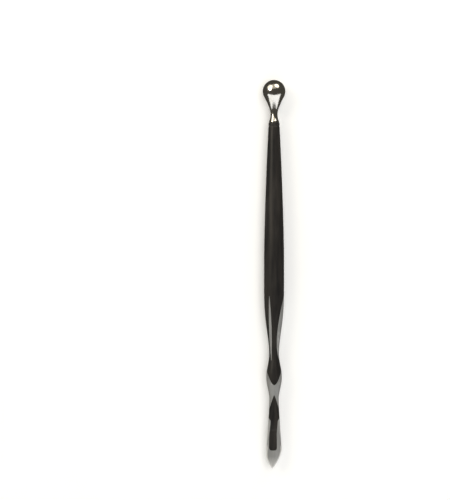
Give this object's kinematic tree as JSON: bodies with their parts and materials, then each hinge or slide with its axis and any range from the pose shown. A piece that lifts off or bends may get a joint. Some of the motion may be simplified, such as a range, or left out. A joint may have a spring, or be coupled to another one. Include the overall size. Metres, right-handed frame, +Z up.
{
  "type": "clay shaper tool",
  "caption": "Double-ended clay shaping tool with a polished ball stylus, a soft-gripped waisted handle and a leaf-shaped blade.",
  "frame": {"origin": "on the surface that the tool lies on, straight below the middle of the tool's length", "axes": "+Y along the tool from the blade tip towards the ball, +X across the blade, +Z up out of the blade's face"},
  "size_m": [0.012, 0.206, 0.012],
  "materials": {
    "plated_metal": "polished warm nickel plate",
    "grey_plastic": "satin light grey moulding",
    "black_rubber": "soft matt black overmould"
  },
  "bodies": {
    "root": {"stylus": "plated_metal", "handle_core": "grey_plastic", "grip_sleeve": "black_rubber", "blade_pad": "black_rubber"}
  },
  "joints": []
}
